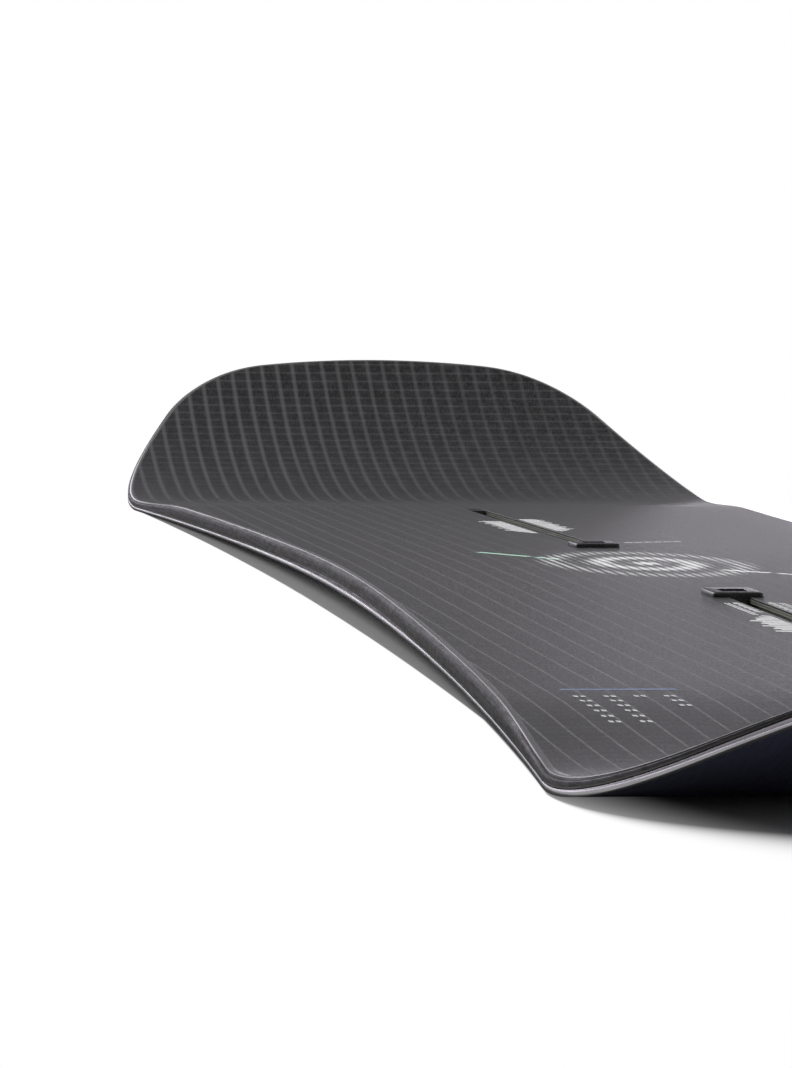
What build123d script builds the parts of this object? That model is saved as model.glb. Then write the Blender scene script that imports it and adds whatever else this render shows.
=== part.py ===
"""A directional snowboard with two centre-line insert channels, layer by layer.

The board is drawn the way it is made. The press bends every layer: camber between the contact
lines, a kick at each end. A layer lies between two of the press curves and is trimmed in plan to
the outline. A flat length is measured along the running surface from the waist of the board.

Frame: +X to the nose, +Y to the left rail, +Z up. Millimetres. The board stands on its two
contact lines at Z = 0, and X = 0 is the middle of its overall length.
"""
from build123d import *
from math import asin, atan2, cos, degrees, pi, radians, sin, sqrt
import os

# ---- Outline in plan ---------------------------------------------------------------------
tip_width = 300.0          # at the contact lines
waist_width = 250.0        # narrowest part, over the steel edges
contact_half = 590.0       # waist to each contact line
nose_reach = 207.0         # contact line to the end of the nose
nose_corner_radius = 77.0  # middle one of the three arcs from the rail to the tip
nose_side_turn = 26.0      # degrees, direction of the rim where that arc starts
nose_corner_turn = 82.0    # degrees, and where it ends
tail_reach = 175.0         # contact line to the end of the tail
tail_corner_radius = 112.0
tail_side_turn = 24.0      # degrees
tail_corner_turn = 70.5    # degrees
ledge_width = 1.6          # how far the steel edge stands out of the sidewall at the waist
ledge_half = 320.0         # half the length of that ledge

# ---- Press curve -------------------------------------------------------------------------
camber_arc = 124.0         # half the length of the arc between the feet
camber_slope = 0.45        # degrees, slope of the straight parts under the feet
nose_kick_radius = 338.0
nose_kick_angle = 34.7     # degrees
tail_kick_radius = 298.0
tail_kick_angle = 28.0     # degrees

# ---- Layers ------------------------------------------------------------------------------
base_thickness = 1.2       # running base
flange_thickness = 0.6     # toothed flange of the steel edge, on top of the base
damper_thickness = 0.2     # rubber strip on top of the flange
ply_thickness = 0.4        # bottom laminate over the rubber strip
upper_laminate_thickness = 0.5
topsheet_thickness = 0.5
middle_thickness = 8.5     # whole board under the feet
contact_thickness = 5.4    # whole board at the end of the core's taper
tip_thickness = 3.8        # whole board at the ends
taper_gap = 3.0            # end of each channel to the start of the core's taper
taper_overrun = 2.0        # contact line to the end of the taper

# ---- Rails -------------------------------------------------------------------------------
edge_width = 1.8           # steel bar at the rim
flange_reach = 7.0         # rim to the inner ends of the flange's teeth
tooth_pitch = 32.0
notch_width = 12.0
notch_depth = 3.6
damper_width = 8.0
sidewall_width = 10.0
bevel_height = 2.6         # bevel round the upper rim
bevel_width = 1.0

# ---- Core --------------------------------------------------------------------------------
stringer_inner = 58.0      # centre line to the near face of each hardwood stringer
stringer_width = 8.0
core_overrun = 42.0        # contact line to the rail end of the core, along the board
core_point = 26.0          # how much further the core reaches on the centre line

# ---- Insert channels ---------------------------------------------------------------------
stance_half = 285.0        # waist to the middle of each binding
inner_travel = 170.0       # middle of the binding to the inner end of its channel
outer_travel = 162.0       # and to its outer end
channel_width = 24.0
channel_floor = 0.8
channel_wall = 4.0
channel_end_wall = 4.0
lip_thickness = 1.7
slot_width = 7.6
end_stop_length = 18.0
port_length = 16.4         # opening that lets the nuts in, under the plug
port_start = 7.0           # end of the channel to the port

# ---- Plugs and nuts ----------------------------------------------------------------------
plug_length = 23.0
plug_width = 18.4
plug_plate = 1.7
plug_corner = 2.2
plug_bevel = 0.45
plug_overhang = 2.6        # plate past the port, at the end of the channel
grip_width = 10.0          # finger recess in the plate
grip_length = 9.0          # between the rows of scallops at its ends
grip_depth = 1.2
grip_scallops = 3
scallop_depth = 0.7
nut_length = 15.0
nut_thickness = 2.6
nut_corner = 1.0
thread_radius = 2.5        # M6 thread, at its crests
bolt_spacing = 40.0        # between the two bolts of one binding

# ---- Clearances --------------------------------------------------------------------------
fit_gap = 0.2              # plug and nut to the walls beside them
seat_gap = 0.05            # plug plate to topsheet, nut to channel floor
trim_gap = 0.05            # end stop to the slot's round end
margin = 12.0              # layers run past the outline by this before trimming

# ---- Heights above the running surface ----------------------------------------------------
flange_top = base_thickness + flange_thickness
damper_top = flange_top + damper_thickness
core_bottom = damper_top + ply_thickness
skin_thickness = upper_laminate_thickness + topsheet_thickness

channel_inner = stance_half - inner_travel
channel_outer = stance_half + outer_travel
taper_start = channel_outer + taper_gap
taper_end = contact_half + taper_overrun
core_end = contact_half + core_overrun

camber_radius = camber_arc / radians(camber_slope)
kicks = {1: (nose_kick_radius, radians(nose_kick_angle)), -1: (tail_kick_radius, radians(tail_kick_angle))}
reach = {1: nose_reach, -1: tail_reach}
corners = {
    1: (nose_corner_radius, radians(nose_side_turn), radians(nose_corner_turn)),
    -1: (tail_corner_radius, radians(tail_side_turn), radians(tail_corner_turn)),
}
sidecut_depth = (tip_width - waist_width) / 2
sidecut_radius = (contact_half**2 + sidecut_depth**2) / (2 * sidecut_depth)


def bend(side, length):
    """Run, drop and slope of the running surface a length from the waist, before placing."""
    slope = radians(camber_slope)
    radius, kick = kicks[side]
    kick_start = contact_half - radius * slope
    turned = min(length, camber_arc) / camber_radius
    run = camber_radius * sin(turned)
    rise = -camber_radius * (1 - cos(turned))
    angle = -turned
    if length > camber_arc:
        straight = min(length, kick_start) - camber_arc
        run += straight * cos(slope)
        rise -= straight * sin(slope)
    if length > kick_start:
        angle = min((length - kick_start) / radius - slope, kick)
        run += radius * (sin(angle) + sin(slope))
        rise += radius * (cos(slope) - cos(angle))
    past_kick = length - kick_start - radius * (kick + slope)
    if past_kick > 0:
        run += past_kick * cos(kick)
        rise += past_kick * sin(kick)
    return run, rise, angle


camber_height = -bend(1, contact_half)[1]


def pressed(flat, height=0.0):
    """X from the waist and Z of a point at a flat position, a height above the running surface."""
    side = 1 if flat >= 0 else -1
    run, rise, angle = bend(side, abs(flat))
    return side * (run - height * sin(angle)), camber_height + rise + height * cos(angle)


def tip_length(side):
    """Flat length from the waist to the end of the nose (side 1) or tail (side -1)."""
    radius, kick = kicks[side]
    kick_stop = contact_half + radius * kick
    return kick_stop + (contact_half + reach[side] - bend(side, kick_stop)[0]) / cos(kick)


def board_thickness(flat):
    """Whole thickness: level under the feet, tapered to the contact lines, thinning to the tips."""
    side = 1 if flat >= 0 else -1
    length = abs(flat)
    if length <= taper_start:
        return middle_thickness
    if length <= taper_end:
        share = (length - taper_start) / (taper_end - taper_start)
        blend = (1 - cos(pi * share)) / 2
        return middle_thickness + (contact_thickness - middle_thickness) * blend
    share = (length - taper_end) / (tip_length(side) - taper_end)
    return contact_thickness + (tip_thickness - contact_thickness) * min(share, 1.0)


waist_x = (tail_reach - nose_reach) / 2       # the waist in the board's frame
board_length = 2 * contact_half + nose_reach + tail_reach


def shelf(flat, height=0.0):
    """A press-curve point as (X, Z) in the board's frame."""
    x, z = pressed(flat, height)
    return (x + waist_x, z)


# ---- Press curves ------------------------------------------------------------------------
deck_steps = 10            # stations of the deck from under a foot to the end of the board


def end_of(side):
    """Flat position where the untrimmed layers stop."""
    return side * (tip_length(side) + margin)


def lower_curve(height):
    """Edges a constant height above the running surface, from tail to nose."""
    edges = []
    for side in (-1, 1):
        radius, kick = kicks[side]
        start = contact_half - radius * radians(camber_slope)
        stop = start + radius * (kick + radians(camber_slope))
        near, far = side * start, side * stop
        edges.append(Line(shelf(side * camber_arc, height), shelf(near, height), mode=Mode.PRIVATE))
        kick_points = [shelf(flat, height) for flat in (near, (near + far) / 2, far)]
        edges.append(ThreePointArc(*kick_points, mode=Mode.PRIVATE))
        edges.append(Line(shelf(far, height), shelf(end_of(side), height), mode=Mode.PRIVATE))
    crown = [shelf(flat, height) for flat in (-camber_arc, 0, camber_arc)]
    edges.append(ThreePointArc(*crown, mode=Mode.PRIVATE))
    return edges


def upper_curve(depth):
    """Edges a constant depth below the top surface, from tail to nose."""
    edges = []
    for side in (-1, 1):
        start, stop = side * taper_start, end_of(side)
        flats = [start + (stop - start) * i / deck_steps for i in range(deck_steps + 1)]
        points = [shelf(flat, board_thickness(flat) - depth) for flat in flats]
        foot = shelf(side * camber_arc, middle_thickness - depth)
        edges.append(Line(foot, points[0], mode=Mode.PRIVATE))
        start_tangent = (points[0][0] - foot[0], points[0][1] - foot[1])
        end_tangent = (points[-1][0] - points[-2][0], points[-1][1] - points[-2][1])
        edges.append(Spline(*points, tangents=[start_tangent, end_tangent], mode=Mode.PRIVATE))
    crown = [shelf(flat, middle_thickness - depth) for flat in (-camber_arc, 0, camber_arc)]
    edges.append(ThreePointArc(*crown, mode=Mode.PRIVATE))
    return edges


curves = {
    "running": (lower_curve(0), 0, None),
    "base_top": (lower_curve(base_thickness), base_thickness, None),
    "flange_top": (lower_curve(flange_top), flange_top, None),
    "damper_top": (lower_curve(damper_top), damper_top, None),
    "core_bottom": (lower_curve(core_bottom), core_bottom, None),
    "core_top": (upper_curve(skin_thickness), None, skin_thickness),
    "laminate_top": (upper_curve(topsheet_thickness), None, topsheet_thickness),
    "deck": (upper_curve(0), None, 0),
}


def curve_end(name, side):
    """Where a press curve stops past the end of the board."""
    edges, height, depth = curves[name]
    flat = end_of(side)
    if height is None:
        return shelf(flat, board_thickness(flat) - depth)
    return shelf(flat, height)


def layer(lower, upper):
    """Side view of what lies between two press curves."""
    with BuildSketch(Plane.XZ) as side_view:
        with BuildLine():
            add(curves[lower][0])
            add(curves[upper][0])
            for side in (-1, 1):
                Line(curve_end(lower, side), curve_end(upper, side))
        make_face()
    return side_view.sketch


# ---- Outlines ----------------------------------------------------------------------------
overall_half = tip_width / 2 + margin
headroom = 200.0           # taller than the pressed board
parallel_steps = 6         # spans of a curve drawn parallel to the ledge


def sidecut_y(x):
    """Half width of the sidecut arc at X from the waist."""
    return waist_width / 2 + sidecut_radius - sqrt(sidecut_radius**2 - x**2)


def rail_edges(hand, ledge):
    """One rail in plan between the contact lines; with a ledge, it steps in between the feet."""
    def at(x, step=0.0):
        return (x + waist_x, hand * (sidecut_y(x) - step))

    edges = []
    for start, stop in ((-contact_half, -ledge_half), (ledge_half, contact_half)):
        edges.append(ThreePointArc(at(start), at((start + stop) / 2), at(stop), mode=Mode.PRIVATE))
    if ledge:
        run = sqrt(sidecut_radius**2 - ledge_half**2)
        tangents = [(run, -hand * ledge_half), (run, hand * ledge_half)]
        stepped = [at(-ledge_half), at(0, ledge_width), at(ledge_half)]
        edges.append(Spline(*stepped, tangents=tangents, mode=Mode.PRIVATE))
    else:
        edges.append(ThreePointArc(at(-ledge_half), at(0), at(ledge_half), mode=Mode.PRIVATE))
    return edges


def tip_arcs(side):
    """Radius, first and last direction of the arcs from a rail to the centre line.

    The corner arc is given. The radii of the side arc before it and of the end arc after it
    follow from the reach and the half width that the three have to cover together.
    """
    corner_radius, side_turn, corner_turn = corners[side]
    leave = -asin(contact_half / sidecut_radius)
    length = reach[side] - corner_radius * (sin(corner_turn) - sin(side_turn))
    width = tip_width / 2 - corner_radius * (cos(side_turn) - cos(corner_turn))
    side_run, side_drop = sin(side_turn) - sin(leave), cos(leave) - cos(side_turn)
    end_run, end_drop = 1 - sin(corner_turn), cos(corner_turn)
    determinant = side_run * end_drop - side_drop * end_run
    side_radius = (length * end_drop - width * end_run) / determinant
    end_radius = (side_run * width - side_drop * length) / determinant
    return [
        (side_radius, leave, side_turn),
        (corner_radius, side_turn, corner_turn),
        (end_radius, corner_turn, pi / 2),
    ]


def tip_edges(side, hand):
    """Half of the nose (side 1) or tail (side -1), from a rail to the centre line."""
    edges = []
    length, width = contact_half, tip_width / 2
    for radius, start, stop in tip_arcs(side):
        points = []
        for turn in (start, (start + stop) / 2, stop):
            along = length + radius * (sin(turn) - sin(start))
            across = width - radius * (cos(start) - cos(turn))
            points.append((side * along + waist_x, hand * across))
        edges.append(ThreePointArc(*points, mode=Mode.PRIVATE))
        length, width = along, across
    return edges


def drawn_in(edge, hand, inset):
    """A curve parallel to an edge of the outline, an inset nearer to the middle of the board."""
    if not inset:
        return edge
    round_edge = edge.geom_type == GeomType.CIRCLE
    steps = 2 if round_edge else parallel_steps
    points = []
    for i in range(steps + 1):
        at = edge.position_at(i / steps)
        along = edge.tangent_at(i / steps)
        points.append((at.X + hand * inset * along.Y, at.Y - hand * inset * along.X))
    if round_edge:
        return ThreePointArc(*points, mode=Mode.PRIVATE)
    start, stop = edge.tangent_at(0), edge.tangent_at(1)
    return Spline(*points, tangents=[(start.X, start.Y), (stop.X, stop.Y)], mode=Mode.PRIVATE)


def outline(inset=0.0, ledge=False):
    """The board in plan, drawn in from its rim by an inset."""
    with BuildSketch(Plane.XY) as plan:
        with BuildLine():
            for hand in (-1, 1):
                for rail in rail_edges(hand, ledge):
                    add(drawn_in(rail, hand, inset))
                for side in (-1, 1):
                    for arc in tip_edges(side, hand):
                        add(drawn_in(arc, side * hand, inset))
        make_face()
    return plan.sketch


def trimmed(lower, upper, plan):
    """The solid between two press curves, trimmed to a plan."""
    with BuildPart() as piece:
        with BuildSketch(Plane.XZ.offset(-overall_half)):
            add(layer(lower, upper))
        extrude(amount=2 * overall_half)
        with BuildSketch(Plane.XY.offset(-headroom / 2)):
            add(plan)
        extrude(amount=headroom, mode=Mode.INTERSECT)
    return piece.part


def ring(outer, inner):
    """The strip of plan between two outlines."""
    with BuildSketch() as strip:
        add(outer)
        add(inner, mode=Mode.SUBTRACT)
    return strip.sketch


def within(plan, x_low, x_high, y_low, y_high):
    """A plan kept inside a rectangle of the board's frame."""
    with BuildSketch() as kept:
        add(plan)
        with Locations(((x_low + x_high) / 2, (y_low + y_high) / 2)):
            Rectangle(x_high - x_low, y_high - y_low, mode=Mode.INTERSECT)
    return kept.sketch


def between(plan, stop):
    """A plan kept between straight cuts across the board, at flat positions either side."""
    low, high = shelf(-stop)[0], shelf(stop)[0]
    return within(plan, low, high, -overall_half, overall_half)


rim_plan = outline()
base_plan = outline(edge_width)
flange_plan = outline(flange_reach)
upper_plan = outline(ledge=True)
damper_plan = outline(damper_width, ledge=True)
core_plan = outline(sidewall_width, ledge=True)
skin_plan = outline(bevel_width, ledge=True)

with BuildSketch() as core_zone:
    with BuildLine():
        zone_corners = []
        for side, hand in ((-1, -1), (1, -1), (1, 0), (1, 1), (-1, 1), (-1, 0)):
            length = core_end if hand else core_end + core_point
            zone_corners.append((shelf(side * length)[0], hand * overall_half))
        Polyline(*zone_corners, close=True)
    make_face()

# ---- Running base ------------------------------------------------------------------------
with BuildPart() as base:
    add(trimmed("running", "base_top", base_plan))

# ---- Steel edges: a bar at the rim and a toothed flange on top of the base ----------------
flange_line = flange_plan.faces()[0].outer_wire()
tooth_count = round(flange_line.length / tooth_pitch / 2) * 2


def notches(hand):
    """Places of the notches between the flange's teeth on one side of the centre line."""
    places = []
    for tooth in range(tooth_count):
        share = (tooth + 0.5) / tooth_count
        at = flange_line.position_at(share)
        along = flange_line.tangent_at(share)
        if hand * at.Y > notch_width:
            places.append(Location((at.X, at.Y, 0), (0, 0, degrees(atan2(along.Y, along.X)))))
    return places


def steel_edge(hand):
    """Bar and toothed flange on one side of the centre line."""
    low, high = sorted((0, hand * overall_half))
    span = (-board_length, board_length, low, high)
    with BuildPart() as edge:
        add(trimmed("base_top", "flange_top", within(ring(base_plan, flange_plan), *span)))
        with BuildSketch(Plane.XY.offset(-headroom / 2)):
            with Locations(notches(hand)):
                Rectangle(notch_width, 2 * notch_depth)
        extrude(amount=headroom, mode=Mode.SUBTRACT)
        add(trimmed("running", "flange_top", within(ring(rim_plan, base_plan), *span)))
    return edge.part


with BuildPart() as steel_edge_left:
    add(steel_edge(1))

with BuildPart() as steel_edge_right:
    add(steel_edge(-1))

# ---- Rubber strips on the flanges ----------------------------------------------------------
damper_strips = between(ring(upper_plan, damper_plan), contact_half)


def edge_damper(hand):
    """Strip on the flange of one steel edge, between the contact lines."""
    low, high = sorted((0, hand * overall_half))
    strip = within(damper_strips, -board_length, board_length, low, high)
    return trimmed("flange_top", "damper_top", strip)


with BuildPart() as edge_damper_left:
    add(edge_damper(1))

with BuildPart() as edge_damper_right:
    add(edge_damper(-1))

# ---- Bottom laminate: fills between the flanges and laps over the rubber --------------------
with BuildSketch() as beside_dampers:
    add(upper_plan)
    add(damper_strips, mode=Mode.SUBTRACT)

with BuildPart() as lower_laminate:
    add(trimmed("base_top", "flange_top", flange_plan))
    add(trimmed("flange_top", "damper_top", beside_dampers.sketch))
    add(trimmed("damper_top", "core_bottom", upper_plan))


# ---- Where the channels lie ------------------------------------------------------------------
def foot_plane(side, height):
    """Plane in the straight part under a foot, +X outwards, centred on the stance."""
    slope = radians(camber_slope)
    x, z = shelf(side * stance_half, height)
    outwards = (side * cos(slope), 0, -sin(slope))
    upwards = (side * sin(slope), 0, cos(slope))
    return Plane(origin=(x, 0, z), x_dir=outwards, z_dir=upwards)


def span_rectangle(start, stop, width):
    """Rectangle on a foot plane between two flat lengths from the waist."""
    with Locations(((start + stop) / 2 - stance_half, 0)):
        Rectangle(stop - start, width)


channel_top = middle_thickness - topsheet_thickness
channel_height = channel_top - core_bottom
cavity_width = channel_width - 2 * channel_wall
cavity_height = channel_height - channel_floor - lip_thickness
port_stop = channel_inner + port_start + port_length
slot_stop = channel_outer - channel_end_wall


def slot_opening():
    """The port and the slot that leads from it, on a foot plane."""
    span_rectangle(channel_inner + port_start, port_stop, cavity_width)
    span_rectangle(port_stop, slot_stop - slot_width / 2, slot_width)
    with Locations((slot_stop - slot_width / 2 - stance_half, 0)):
        Circle(slot_width / 2)


with BuildPart() as pockets:
    for side in (-1, 1):
        with BuildSketch(foot_plane(side, core_bottom)):
            span_rectangle(channel_inner, channel_outer, channel_width)
        extrude(amount=channel_height)

# ---- Core ------------------------------------------------------------------------------------
def core_piece(x_low, x_high, y_low, y_high):
    """A piece of the core inside a rectangle, with pointed ends to the spacers."""
    with BuildSketch() as plan:
        add(within(core_plan, x_low, x_high, y_low, y_high))
        add(core_zone.sketch, mode=Mode.INTERSECT)
    return trimmed("core_bottom", "core_top", plan.sketch)


def core_strip(y_low, y_high):
    return core_piece(-board_length, board_length, y_low, y_high)


def core_centre(x_low, x_high):
    """A piece of the centre strip that the channels leave."""
    with BuildPart() as block:
        add(core_piece(x_low, x_high, -channel_width / 2, channel_width / 2))
        add(pockets.part, mode=Mode.SUBTRACT)
    return block.part


centre_edge = channel_width / 2
stringer_outer = stringer_inner + stringer_width

with BuildPart() as core_centre_nose:
    add(core_centre(shelf(stance_half)[0], board_length))

with BuildPart() as core_centre_waist:
    add(core_centre(shelf(-stance_half)[0], shelf(stance_half)[0]))

with BuildPart() as core_centre_tail:
    add(core_centre(-board_length, shelf(-stance_half)[0]))

with BuildPart() as core_inner_strip_left:
    add(core_strip(centre_edge, stringer_inner))

with BuildPart() as core_inner_strip_right:
    add(core_strip(-stringer_inner, -centre_edge))

with BuildPart() as core_stringer_left:
    add(core_strip(stringer_inner, stringer_outer))

with BuildPart() as core_stringer_right:
    add(core_strip(-stringer_outer, -stringer_inner))

with BuildPart() as core_outer_strip_left:
    add(core_strip(stringer_outer, overall_half))

with BuildPart() as core_outer_strip_right:
    add(core_strip(-overall_half, -stringer_outer))


# ---- Tip spacers -------------------------------------------------------------------------------
def spacer_plan(side):
    low, high = sorted((0, side * board_length))
    with BuildSketch() as plan:
        add(within(upper_plan, low, high, -overall_half, overall_half))
        add(core_zone.sketch, mode=Mode.SUBTRACT)
    return plan.sketch


with BuildPart() as nose_spacer:
    add(trimmed("core_bottom", "core_top", spacer_plan(1)))

with BuildPart() as tail_spacer:
    add(trimmed("core_bottom", "core_top", spacer_plan(-1)))


# ---- Sidewalls ---------------------------------------------------------------------------------
def sidewall(hand):
    """Strip beside the core with a bevelled upper rim."""
    low, high = sorted((0, hand * overall_half))
    with BuildSketch() as plan:
        add(within(ring(upper_plan, core_plan), -board_length, board_length, low, high))
        add(core_zone.sketch, mode=Mode.INTERSECT)
    with BuildPart() as strip:
        add(trimmed("core_bottom", "core_top", plan.sketch))
        outer_faces = [face for face in strip.faces() if hand * face.normal_at().Y > 0.7]
        outer_face = max(outer_faces, key=lambda face: face.bounding_box().size.X)
        top_faces = [face for face in strip.faces() if face.normal_at().Z > 0.7]
        top_edges = [edge for face in top_faces for edge in face.edges()]
        rim = [edge for edge in outer_face.edges() if any(edge.is_same(other) for other in top_edges)]
        chamfer(rim, length=bevel_height - skin_thickness, length2=bevel_width, reference=outer_face)
    return strip.part


with BuildPart() as sidewall_left:
    add(sidewall(1))

with BuildPart() as sidewall_right:
    add(sidewall(-1))

# ---- Top laminate and topsheet -------------------------------------------------------------------
with BuildPart() as upper_laminate:
    add(trimmed("core_top", "laminate_top", skin_plan))
    add(pockets.part, mode=Mode.SUBTRACT)

with BuildPart() as topsheet:
    add(trimmed("laminate_top", "deck", skin_plan))
    for side in (-1, 1):
        with BuildSketch(foot_plane(side, channel_top - lip_thickness)):
            slot_opening()
        extrude(amount=topsheet_thickness + 2 * lip_thickness, mode=Mode.SUBTRACT)


# ---- Insert channels -------------------------------------------------------------------------------
def insert_channel(side):
    """C-section channel with a floor, two lips and a port at its inner end."""
    with BuildPart() as channel:
        with BuildSketch(foot_plane(side, core_bottom)):
            span_rectangle(channel_inner, channel_outer, channel_width)
        extrude(amount=channel_height)
        with BuildSketch(foot_plane(side, core_bottom + channel_floor)):
            span_rectangle(channel_inner + channel_end_wall, slot_stop, cavity_width)
        extrude(amount=cavity_height, mode=Mode.SUBTRACT)
        with BuildSketch(foot_plane(side, core_bottom + channel_floor + cavity_height)):
            slot_opening()
        extrude(amount=lip_thickness, mode=Mode.SUBTRACT)
    return channel.part


with BuildPart() as insert_channel_front:
    add(insert_channel(1))

with BuildPart() as insert_channel_rear:
    add(insert_channel(-1))


# ---- End stops: fill the outer end of each slot ------------------------------------------------------
def end_stop(side):
    """T-shaped stop, its foot under the lips and its head flush with the topsheet."""
    start = slot_stop - end_stop_length
    with BuildPart() as stop:
        with BuildSketch(foot_plane(side, core_bottom + channel_floor)):
            span_rectangle(start, slot_stop - trim_gap, cavity_width - 2 * fit_gap)
        extrude(amount=cavity_height - trim_gap)
        with BuildSketch(foot_plane(side, core_bottom + channel_floor)):
            span_rectangle(start, slot_stop - slot_width / 2, slot_width - 2 * trim_gap)
            with Locations((slot_stop - slot_width / 2 - stance_half, 0)):
                Circle(slot_width / 2 - trim_gap)
        extrude(amount=middle_thickness - core_bottom - channel_floor)
    return stop.part


with BuildPart() as end_stop_front:
    add(end_stop(1))

with BuildPart() as end_stop_rear:
    add(end_stop(-1))


# ---- Plugs over the ports ------------------------------------------------------------------------------
def channel_plug(side):
    """Plug with a bevelled plate on the topsheet, a block in the port and a tongue in the slot."""
    plate_start = channel_inner + port_start - plug_overhang
    plate_stop = plate_start + plug_length
    plate_bottom = middle_thickness + seat_gap
    block_bottom = core_bottom + channel_floor + fit_gap
    tongue_bottom = channel_top - lip_thickness
    with BuildPart() as plug:
        with BuildSketch(foot_plane(side, plate_bottom)):
            with Locations(((plate_start + plate_stop) / 2 - stance_half, 0)):
                RectangleRounded(plug_length, plug_width, plug_corner)
        extrude(amount=plug_plate)
        top = plug.faces().sort_by(Axis.Z)[-1]
        chamfer(top.edges(), length=plug_bevel)
        pitch = grip_width / grip_scallops
        scallop_radius = (pitch**2 / 4 + scallop_depth**2) / (2 * scallop_depth)
        row_spacing = grip_length - 2 * (scallop_radius - scallop_depth)
        with BuildSketch(foot_plane(side, plate_bottom + plug_plate - grip_depth)):
            with Locations(((plate_start + plate_stop) / 2 - stance_half, 0)):
                Rectangle(grip_length, grip_width)
                with GridLocations(row_spacing, pitch, 2, grip_scallops):
                    Circle(scallop_radius)
                Rectangle(plug_length, grip_width, mode=Mode.INTERSECT)
        extrude(amount=grip_depth, mode=Mode.SUBTRACT)
        block_start, block_stop = channel_inner + port_start + fit_gap, port_stop - fit_gap
        with BuildSketch(foot_plane(side, block_bottom)):
            span_rectangle(block_start, block_stop, cavity_width - 2 * fit_gap)
        extrude(amount=plate_bottom - block_bottom)
        with BuildSketch(foot_plane(side, tongue_bottom)):
            span_rectangle(port_stop - fit_gap, plate_stop, slot_width - 2 * fit_gap)
        extrude(amount=plate_bottom - tongue_bottom)
    return plug.part


with BuildPart() as channel_plug_front:
    add(channel_plug(1))

with BuildPart() as channel_plug_rear:
    add(channel_plug(-1))


# ---- Slide nuts: M6, free to slide along the channel --------------------------------------------------
def slide_nut(side, place):
    """Plate nut for one binding bolt, under the lips of the channel."""
    nut_bottom = core_bottom + channel_floor + seat_gap
    with BuildPart() as nut:
        with BuildSketch(foot_plane(side, nut_bottom)):
            with Locations((place * bolt_spacing / 2, 0)):
                plate = Rectangle(nut_length, cavity_width - 2 * fit_gap)
                chamfer(plate.vertices(), length=nut_corner)
                Circle(thread_radius, mode=Mode.SUBTRACT)
        extrude(amount=nut_thickness)
    return nut.part


with BuildPart() as slide_nut_front_inner:
    add(slide_nut(1, -1))

with BuildPart() as slide_nut_front_outer:
    add(slide_nut(1, 1))

with BuildPart() as slide_nut_rear_inner:
    add(slide_nut(-1, -1))

with BuildPart() as slide_nut_rear_outer:
    add(slide_nut(-1, 1))

# ---- Export ----------------------------------------------------------------------------------------------
pieces = {
    "base": base,
    "steel_edge_left": steel_edge_left,
    "steel_edge_right": steel_edge_right,
    "edge_damper_left": edge_damper_left,
    "edge_damper_right": edge_damper_right,
    "lower_laminate": lower_laminate,
    "core_centre_nose": core_centre_nose,
    "core_centre_waist": core_centre_waist,
    "core_centre_tail": core_centre_tail,
    "core_inner_strip_left": core_inner_strip_left,
    "core_inner_strip_right": core_inner_strip_right,
    "core_stringer_left": core_stringer_left,
    "core_stringer_right": core_stringer_right,
    "core_outer_strip_left": core_outer_strip_left,
    "core_outer_strip_right": core_outer_strip_right,
    "nose_spacer": nose_spacer,
    "tail_spacer": tail_spacer,
    "sidewall_left": sidewall_left,
    "sidewall_right": sidewall_right,
    "upper_laminate": upper_laminate,
    "topsheet": topsheet,
    "insert_channel_front": insert_channel_front,
    "insert_channel_rear": insert_channel_rear,
    "end_stop_front": end_stop_front,
    "end_stop_rear": end_stop_rear,
    "channel_plug_front": channel_plug_front,
    "channel_plug_rear": channel_plug_rear,
    "slide_nut_front_inner": slide_nut_front_inner,
    "slide_nut_front_outer": slide_nut_front_outer,
    "slide_nut_rear_inner": slide_nut_rear_inner,
    "slide_nut_rear_outer": slide_nut_rear_outer,
}

os.makedirs("parts", exist_ok=True)
for name, piece in pieces.items():
    piece.part.label = name
    export_step(piece.part, f"parts/{name}.step")

print(f"length {board_length:.1f} mm, camber {camber_height:.2f} mm, waist at X {waist_x:.2f}")
for label, side in (("front", 1), ("rear", -1)):
    for place, spot in ((-1, "inner"), (1, "outer")):
        flat = side * (stance_half + place * bolt_spacing / 2)
        low = shelf(flat, core_bottom + channel_floor + seat_gap)
        print(label, spot, "thread from", [round(value, 4) for value in low])
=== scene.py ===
"""Looks of the snowboard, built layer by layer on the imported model's frame.

Metres. +X to the nose, +Y to the left rail, +Z up. Layers are drawn flat, in lengths from the
waist (s) and across (y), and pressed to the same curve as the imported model.
"""
import bmesh
import bpy
from math import asin, atan2, ceil, cos, floor, hypot, pi, radians, sin, sqrt
from mathutils import Matrix, Vector
from mathutils.geometry import delaunay_2d_cdt


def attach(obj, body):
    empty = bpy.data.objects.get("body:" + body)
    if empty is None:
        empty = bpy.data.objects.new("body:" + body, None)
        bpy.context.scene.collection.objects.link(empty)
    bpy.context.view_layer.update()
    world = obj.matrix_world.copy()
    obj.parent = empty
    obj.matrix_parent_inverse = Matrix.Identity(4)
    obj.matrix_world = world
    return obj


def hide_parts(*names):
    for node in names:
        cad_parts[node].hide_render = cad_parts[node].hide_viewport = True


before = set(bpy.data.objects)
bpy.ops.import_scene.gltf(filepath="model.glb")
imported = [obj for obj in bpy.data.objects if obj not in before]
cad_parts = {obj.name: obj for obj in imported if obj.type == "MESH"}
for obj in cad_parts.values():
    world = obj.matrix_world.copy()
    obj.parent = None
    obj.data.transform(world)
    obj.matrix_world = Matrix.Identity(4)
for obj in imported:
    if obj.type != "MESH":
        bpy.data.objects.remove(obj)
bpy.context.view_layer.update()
scene = bpy.context.scene
mm = 0.001

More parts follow.
